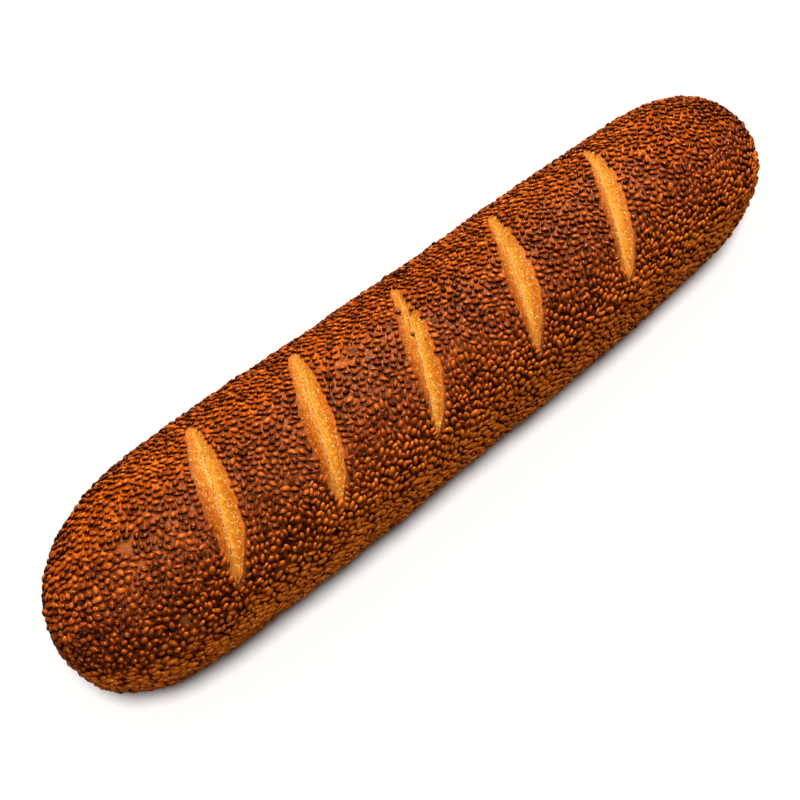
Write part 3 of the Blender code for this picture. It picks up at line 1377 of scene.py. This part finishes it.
    def push_apart(
        self, bed: Bedding, first: np.ndarray, second: np.ndarray, closeness: float
    ) -> None:
        """Move and turn seeds a little so that they lie as far apart as closeness asks."""
        along, across = bed.axes()
        gap = bed.place[second] - bed.place[first]
        distance = np.maximum(np.linalg.norm(gap, axis=1), TINY)
        toward = gap / distance[:, None]
        reach = np.zeros(len(first))
        turn = np.zeros(len(bed.place))
        for rows in (first, second):
            lengthwise = dots(toward, along[rows])
            sideways = dots(toward, across[rows])
            reach += 1.0 / np.sqrt(
                (lengthwise / bed.half_length[rows]) ** 2 + (sideways / bed.half_width[rows]) ** 2 + TINY
            )
            turn_by = lengthwise * sideways
            overlap = np.maximum(closeness * reach - distance, 0.0) / MM
            np.add.at(turn, rows, -self.turning * turn_by * overlap)
        overlap = np.maximum(closeness * reach - distance, 0.0)
        push = toward * (overlap * self.push)[:, None]
        shift = np.zeros_like(bed.place)
        np.add.at(shift, first, -push)
        np.add.at(shift, second, push)
        bed.place += shift
        straighten = (bed.wanted - bed.heading) * self.straightening
        bed.heading += np.clip(turn, -self.most_turn, self.most_turn) + straighten

    def clear_slashes(self, bed: Bedding) -> None:
        """Push seeds that reach over a slash's edge back onto the crust."""
        step = self.form.probe
        inside = self.inside(bed.place)
        rows = np.nonzero(inside > -self.slash_gap)[0]
        if not len(rows):
            return
        spots = bed.place[rows]
        slope_x = self.inside(spots + (step, 0.0, 0.0)) - self.inside(spots - (step, 0.0, 0.0))
        slope_y = self.inside(spots + (0.0, step, 0.0)) - self.inside(spots - (0.0, step, 0.0))
        steepness = np.maximum(np.hypot(slope_x, slope_y), TINY)
        move = np.minimum(inside[rows] + self.slash_gap, self.clearing_step)
        bed.place[rows, 0] -= slope_x / steepness * move
        bed.place[rows, 1] -= slope_y / steepness * move

    def settle(self, bed: Bedding) -> None:
        """Let the seeds find room beside each other."""
        self.rest_on_crust(bed)
        for count in range(self.rounds):
            if count % 4 == 0:
                first, second = self.neighbours(bed)
            done = count / self.rounds
            closeness = self.first_closeness + (self.last_closeness - self.first_closeness) * done
            self.push_apart(bed, first, second, closeness)
            self.clear_slashes(bed)
            if count % 4 == 3:
                self.rest_on_crust(bed)
        self.rest_on_crust(bed)
        stays = self.inside(bed.place) < 0.0
        for x, y, radius in self.bare_spots:
            gap = np.hypot(bed.place[:, 0] - x, bed.place[:, 1] - y)
            gap = gap + self.ragged * lumps(bed.place, 0.003, 5.5)
            stays &= (gap > radius) | (bed.place[:, 2] < self.crown_floor)
        bed.keep(stays)
        self.zone, self.kind, self.size = self.zone[stays], self.kind[stays], self.size[stays]

    def drop_strays(self, bed: Bedding) -> None:
        """Add the few seeds that dropped into a slash."""
        count = len(self.strays)
        x, y = np.array(self.strays).T
        inside = [slash.inside(x, y) for slash in self.slashes]
        slash = self.slashes[int(np.argmax([depth.sum() for depth in inside]))]
        share, across = slash.measure(x, y)
        sunk = slash.groove(share, slash.bank(share, across)) + self.stray_depth
        normal = self.form.crown_normal(x, y)
        skin = np.stack([x, y, self.form.crown_height(x, y)], axis=1)
        heading = self.chance.uniform(0.0, math.pi, count)
        number = self.number_of(Kind.ROUND)
        half_length = np.full(count, self.stock[number].shape.half_length)
        added = {
            "place": skin - normal * sunk[:, None],
            "normal": normal,
            "heading": heading,
            "wanted": heading,
            "half_length": half_length,
            "half_width": half_length,
        }
        for name, values in added.items():
            setattr(bed, name, np.concatenate([getattr(bed, name), values]))
        self.zone = np.concatenate([self.zone, np.full(count, Zone.CROWN.value)])
        self.kind = np.concatenate([self.kind, np.full(count, number)])
        self.size = np.concatenate([self.size, np.full(count, self.stray_size)])

    def raise_mounds(self, bed: Bedding) -> None:
        """Let the crust rise a little round every seed, as it does where it has baked on."""
        tree = tree_of(bed.place)
        gap = np.array([tree.find(point)[2] for point in self.points])
        rise = np.exp(-((gap / self.mound_width) ** 2))
        rise *= smooth_step(0.0004, -0.0006, self.inside(self.points))
        moved = self.points + self.normals * (rise * self.mound)[:, None]
        self.crust.data.vertices.foreach_set("co", moved.astype(np.float32).ravel())
        self.crust.data.update()
        # The crust's finish paints shade in the gaps between the seeds from this value
        store(self.crust.data, "mound", rise)
        bald = np.zeros(len(gap))
        for x, y, radius in self.bare_spots:
            away = np.hypot(self.points[:, 0] - x, self.points[:, 1] - y)
            bald = np.maximum(bald, smooth_step(radius * 1.5, radius * 0.6, away))
        bald = bald * (self.points[:, 2] > self.crown_floor)
        border = smooth_step(-0.0014, -0.0004, self.inside(self.points))
        store(self.crust.data, "bald", np.maximum(bald, self.bare_border * border))

    def frames(self, bed: Bedding) -> np.ndarray:
        """Turn of every seed, with the lean that its zone gives it.

        Args:
            bed: The settled seeds.

        Returns:
            One matrix for each seed whose columns are its length, width and thickness axes.
        """
        count = len(bed.place)
        lean_to, lean = np.empty(count), np.empty(count)
        for zone, lay in LAYS.items():
            rows = self.zone == zone.value
            lean_to[rows] = np.radians(self.chance.normal(lay.lean_to, lay.lean_to_spread, rows.sum()))
            lean[rows] = np.radians(self.chance.normal(lay.lean, lay.lean_spread, rows.sum()))
        straight = Bedding(bed.place, bed.normal, lean_to, lean_to, bed.half_length, bed.half_width)
        raised, _ = straight.axes()
        straight.heading = np.full(count, math.radians(SHADED_HEADING))
        self.downhill, _ = straight.axes()
        up = unit(bed.normal * np.cos(lean)[:, None] - raised * np.sin(lean)[:, None])
        along, _ = bed.axes()
        along = unit(along - dots(along, up)[:, None] * up)
        return np.stack([along, np.cross(up, along), up], axis=2)

    def build(self) -> list[bpy.types.Object]:
        """Lay the whole coat.

        Returns:
            One joined piece for each kind of seed.
        """
        bed = self.sow()
        self.settle(bed)
        self.raise_mounds(bed)
        self.drop_strays(bed)
        turns = self.frames(bed)
        tint = self.tints(bed)
        return [
            self.join_kind(number, item, bed, turns, tint) for number, item in enumerate(self.stock)
        ]

    @staticmethod
    def toast_of(
        shaped: np.ndarray, turns: np.ndarray, downhill: np.ndarray, lift: np.ndarray, around: np.ndarray
    ) -> np.ndarray:
        """How dark every vertex of the seeds is painted, as painted shade and painted light.

        Args:
            shaped: Vertices of the seeds about their middles.
            turns: The seeds' matrices.
            downhill: Directions down the front of the loaf.
            lift: Height of a seed's vertices, from 0 to 1.
            around: Angles of the seeds round the loaf.

        Returns:
            Below 0 where light is painted on the lit side and up to 0.75 where shade is painted darkest,
            one value for each vertex.
        """
        facing = np.einsum("nmi,nij,nj->nm", shaped, turns.transpose(0, 2, 1), downhill)
        facing = facing / np.abs(facing).max(axis=1, keepdims=True)
        crown = smooth_step(45.0, 80.0, around)[:, None]
        front = smooth_step(105.0, 135.0, around)[:, None]
        # Painted shade on the side facing down the front, away from the key lamp, and low on the seed;
        # painted light on the side towards the lamp
        fall = facing * 0.65 + (1.0 - lift) * 0.5 + 0.08 * crown
        dark = 0.72 * smooth_step(0.48, 0.76, fall) - 0.20 * smooth_step(0.0, -0.45, fall)
        # Painted shade round the base of the seeds on the crown and front, where they meet the crust
        rim = (0.20 * crown + 0.40 * front) * smooth_step(0.45, 0.15, lift)
        # On the front the upper ends get painted light and the lower ends painted shade, as the light
        # falls from above
        return np.minimum(dark + rim + 0.34 * front * facing, 0.75).ravel()

    def tints(self, bed: Bedding) -> np.ndarray:
        """Lightness of every seed from 0 to 1.

        Patches of the coat are lighter or darker. Both ends and the front shoulder are darker,
        and the foot is lighter; the thick end's lower front and the shoulder are painted shade and the
        foot painted light.

        Args:
            bed: The settled seeds.

        Returns:
            One value for each seed.
        """
        patch = 0.16 * lumps(bed.place, 0.009, 7.7) + 0.10 * lumps(bed.place, 0.03, 1.3)
        around = self.form.angle_of(bed.place)
        thick_end = smooth_step(-0.100, -0.128, bed.place[:, 0])
        low = smooth_step(94.0, 118.0, around) * (1.0 - 0.45 * smooth_step(142.0, 158.0, around))
        shoulder = np.exp(-(((around - 125.0) / 14.0) ** 2))
        thin_end = smooth_step(0.100, 0.126, bed.place[:, 0])
        thin_crown = thin_end * smooth_step(116.0, 98.0, around) * smooth_step(52.0, 68.0, around)
        thin_front = thin_end * smooth_step(112.0, 126.0, around)
        foot = smooth_step(138.0, 152.0, around)
        # The darker thick end's lower front and front shoulder are painted shade, and the lighter foot
        # painted light
        patch = patch - thick_end * (0.12 + 0.26 * low) - 0.18 * shoulder + 0.26 * foot
        patch = patch - 0.16 * thin_crown - 0.10 * thin_front
        spread = 0.21 + 0.12 * smooth_step(140.0, 165.0, around)
        return np.clip(self.chance.normal(0.5, spread) + patch, 0.0, 1.0)

    def join_kind(
        self, number: int, item: SeedStock, bed: Bedding, turns: np.ndarray, tint: np.ndarray
    ) -> bpy.types.Object:
        """Join all the seeds of one kind into a piece.

        Args:
            number: The kind's place in the stock.
            item: What a seed of this kind is like.
            bed: The settled seeds.
            turns: The seeds' matrices.
            tint: The seeds' lightness.

        Returns:
            The finished piece.
        """
        rows = np.nonzero(self.kind == number)[0]
        bm = item.shape.model()
        points = np.array([vert.co for vert in bm.verts])
        faces = [[vert.index for vert in face.verts] for face in bm.faces]
        layer = bm.loops.layers.uv[BAKE_MAP]
        corners_uv = np.array([loop[layer].uv for face in bm.faces for loop in face.loops])
        bm.free()
        stretch = self.chance.normal(1.0, self.stretch_spread, (len(rows), 3))
        stretch = stretch.clip(*self.stretch_limits)
        stretch *= self.size[rows][:, None]
        knobbly = self.chance.normal(1.0, self.knobbliness, (len(rows), len(points), 1))
        shaped = points[None] * stretch[:, None, :] * knobbly
        sunk = item.shape.half_thickness * item.bedding * self.chance.uniform(*self.sinking, len(rows))
        spots = bed.place[rows] + bed.normal[rows] * sunk[:, None]
        laid = np.einsum("nij,nmj->nmi", turns[rows], shaped) + spots[:, None, :]
        laid[:, :, 2] = np.maximum(laid[:, :, 2], self.floor_gap)
        mesh = tile_mesh(item.kind.value, laid, faces, corners_uv)
        around = self.form.angle_of(bed.place[rows])
        lift = (points[:, 2] - points[:, 2].min()) / np.ptp(points[:, 2])
        # Painted shade and painted light on every vertex of the seeds
        store(mesh, "toast", self.toast_of(shaped, turns[rows], self.downhill[rows], lift, around))
        store(mesh, "tint", np.repeat(tint[rows], len(points)))
        browning = self.form.browning_angle(bed.place[rows])
        store(mesh, "around", np.repeat(browning, len(points)))
        mesh.materials.append(item.finish.make())
        return add_piece(item.kind.value, mesh)


CELL_MARGIN = 0.06


def tile_mesh(
    name: str, laid: np.ndarray, faces: list[list[int]], corners_uv: np.ndarray
) -> bpy.types.Mesh:
    """Join copies of a small shape into one mesh, each with a cell of the map.

    Args:
        name: The mesh's name.
        laid: Vertices of every copy as an (n, m, 3) array.
        faces: The shape's faces.
        corners_uv: The shape's own map, one row for each corner.

    Returns:
        The mesh.
    """
    copies, points = laid.shape[:2]
    corners = np.concatenate([np.array(face) for face in faces])
    totals = np.array([len(face) for face in faces])
    starts = np.concatenate([[0], np.cumsum(totals)[:-1]])
    mesh = bpy.data.meshes.new(name)
    mesh.vertices.add(copies * points)
    mesh.vertices.foreach_set("co", laid.astype(np.float32).ravel())
    mesh.loops.add(copies * len(corners))
    all_corners = corners[None] + points * np.arange(copies)[:, None]
    mesh.loops.foreach_set("vertex_index", all_corners.astype(np.int32).ravel())
    mesh.polygons.add(copies * len(faces))
    all_starts = starts[None] + len(corners) * np.arange(copies)[:, None]
    mesh.polygons.foreach_set("loop_start", all_starts.astype(np.int32).ravel())
    mesh.update(calc_edges=True)
    mesh.shade_smooth()
    columns = math.ceil(math.sqrt(copies))
    cell = np.stack([np.arange(copies) % columns, np.arange(copies) // columns], axis=1)
    uv = cell[:, None, :] + CELL_MARGIN + (1.0 - 2.0 * CELL_MARGIN) * corners_uv[None]
    uv = uv / columns
    mesh.uv_layers.new(name=BAKE_MAP).data.foreach_set("uv", uv.astype(np.float32).ravel())
    return mesh


# Shared helpers


def read_points(mesh: bpy.types.Mesh) -> tuple[np.ndarray, np.ndarray]:
    """Vertices and their outward directions."""
    places = np.empty(len(mesh.vertices) * 3, np.float32)
    normals = np.empty(len(mesh.vertices) * 3, np.float32)
    mesh.vertices.foreach_get("co", places)
    mesh.vertex_normals.foreach_get("vector", normals)
    return places.reshape(-1, 3).astype(float), normals.reshape(-1, 3).astype(float)


def close_up(bm: bmesh.types.BMesh) -> None:
    """Merge the doubled vertices along a seam and at the poles, and turn the faces outwards."""
    bmesh.ops.remove_doubles(bm, verts=bm.verts, dist=WELD)
    bmesh.ops.recalc_face_normals(bm, faces=bm.faces)


def store(mesh: bpy.types.Mesh, name: str, values: np.ndarray) -> None:
    """Store one number on every vertex for a finish to read."""
    mesh.attributes.new(name, "FLOAT", "POINT").data.foreach_set("value", values.astype(np.float32))


def add_piece(name: str, mesh: bpy.types.Mesh) -> bpy.types.Object:
    """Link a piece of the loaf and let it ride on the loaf's body."""
    piece = bpy.data.objects.new(name, mesh)
    bpy.context.scene.collection.objects.link(piece)
    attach(piece, "root")
    return piece


# The studio


@dataclass(frozen=True)
class Lamp:
    """One soft lamp, far away, that lights either the loaf or the floor."""

    name: str
    strength: float
    spread: float
    comes_from: tuple[float, float, float]
    on_floor: bool
    colour: Colour = (1.0, 1.0, 1.0)

    def build(self, floor: bpy.types.Object) -> None:
        """Hang the lamp and link it to what it lights."""
        light = bpy.data.lights.new(self.name, "SUN")
        light.energy = self.strength
        light.angle = math.radians(self.spread)
        light.color = self.colour
        lamp = bpy.data.objects.new(self.name, light)
        lamp.rotation_mode = "QUATERNION"
        lamp.rotation_quaternion = Vector(self.comes_from).to_track_quat("Z", "Y")
        bpy.context.scene.collection.objects.link(lamp)
        lit = bpy.data.collections.new(f"{self.name}_reach")
        lit.objects.link(floor)
        lit.collection_objects[0].light_linking.link_state = "INCLUDE" if self.on_floor else "EXCLUDE"
        lamp.light_linking.receiver_collection = lit


@dataclass(frozen=True)
class Studio:
    """A plain pale floor, soft lamps and a faint, nearly white surround."""

    floor_size: float = 3.0
    floor_colour: Colour = (0.93, 0.93, 0.93)
    surround: float = 0.06
    surround_colour: Colour = (1.0, 0.94, 0.92)
    lamps: tuple[Lamp, ...] = (
        Lamp("key", 5.2, 6.0, (0.50, 0.76, 1.0), False),
        Lamp("fill", 2.6, 10.0, (-0.05, -0.20, 1.0), False),
        Lamp("overhead", 3.2, 18.0, (-0.03, -0.07, 1.0), True, (1.0, 0.955, 0.94)),
        Lamp("haze", 0.35, 150.0, (0.0, 0.0, 1.0), True, (1.0, 0.80, 0.74)),
    )

    def build(self) -> None:
        """Set up floor, lights and picture settings."""
        scene = bpy.context.scene
        bm = bmesh.new()
        bmesh.ops.create_grid(bm, x_segments=1, y_segments=1, size=self.floor_size)
        mesh = bpy.data.meshes.new("floor")
        bm.to_mesh(mesh)
        bm.free()
        recipe = Recipe("pale_floor")
        recipe.finish(self.floor_colour, 1.0, None, Specular_IOR_Level=0.0)
        mesh.materials.append(recipe.material)
        floor = bpy.data.objects.new("floor", mesh)
        scene.collection.objects.link(floor)
        floor.visible_diffuse = False
        floor.visible_glossy = False
        world = bpy.data.worlds.new("white_surround")
        world.use_nodes = True
        background = world.node_tree.nodes["Background"]
        background.inputs["Color"].default_value = (*self.surround_colour, 1.0)
        background.inputs["Strength"].default_value = self.surround
        scene.world = world
        for lamp in self.lamps:
            lamp.build(floor)
        scene.view_settings.view_transform = "Standard"


@dataclass(frozen=True)
class PhotoView:
    """The camera, high above the loaf's front on its thick end's side."""

    azimuth: float = -41.13
    elevation: float = 68.0
    distance: float = 0.5
    target: tuple[float, float, float] = (-0.01695, -0.005779, 0.03)
    lens: float = 60.39
    sensor: float = 36.0

    def build(self) -> None:
        """Place the camera and make it the scene's."""
        turn, rise = math.radians(self.azimuth), math.radians(self.elevation)
        back = Vector((math.sin(turn) * math.cos(rise), -math.cos(turn) * math.cos(rise), math.sin(rise)))
        data = bpy.data.cameras.new("photo_view")
        data.lens = self.lens
        data.sensor_width = self.sensor
        camera = bpy.data.objects.new("photo_view", data)
        camera.location = Vector(self.target) + back * self.distance
        camera.rotation_mode = "QUATERNION"
        camera.rotation_quaternion = back.to_track_quat("Z", "Y")
        bpy.context.scene.collection.objects.link(camera)
        bpy.context.scene.camera = camera


def report(piece: bpy.types.Object) -> None:
    """Log a piece's name and size."""
    piece.data.calc_loop_triangles()
    log.info("%s: %d triangles", piece.name, len(piece.data.loop_triangles))


def main() -> None:
    """Build the loaf, its studio and its camera, and note the sizes."""
    logging.basicConfig(level=logging.INFO, format="%(message)s")
    form = LoafForm()
    crust = Crust(form, SLASHES, CrustFinish()).build()
    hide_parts("loaf")
    pieces = [crust, SlashBeds(form, SLASHES, CrumbFinish()).build()]
    pieces += SeedCoat(form, SLASHES, crust).build()
    for piece in pieces:
        report(piece)
    Studio().build()
    PhotoView().build()


if __name__ == "__main__":
    main()
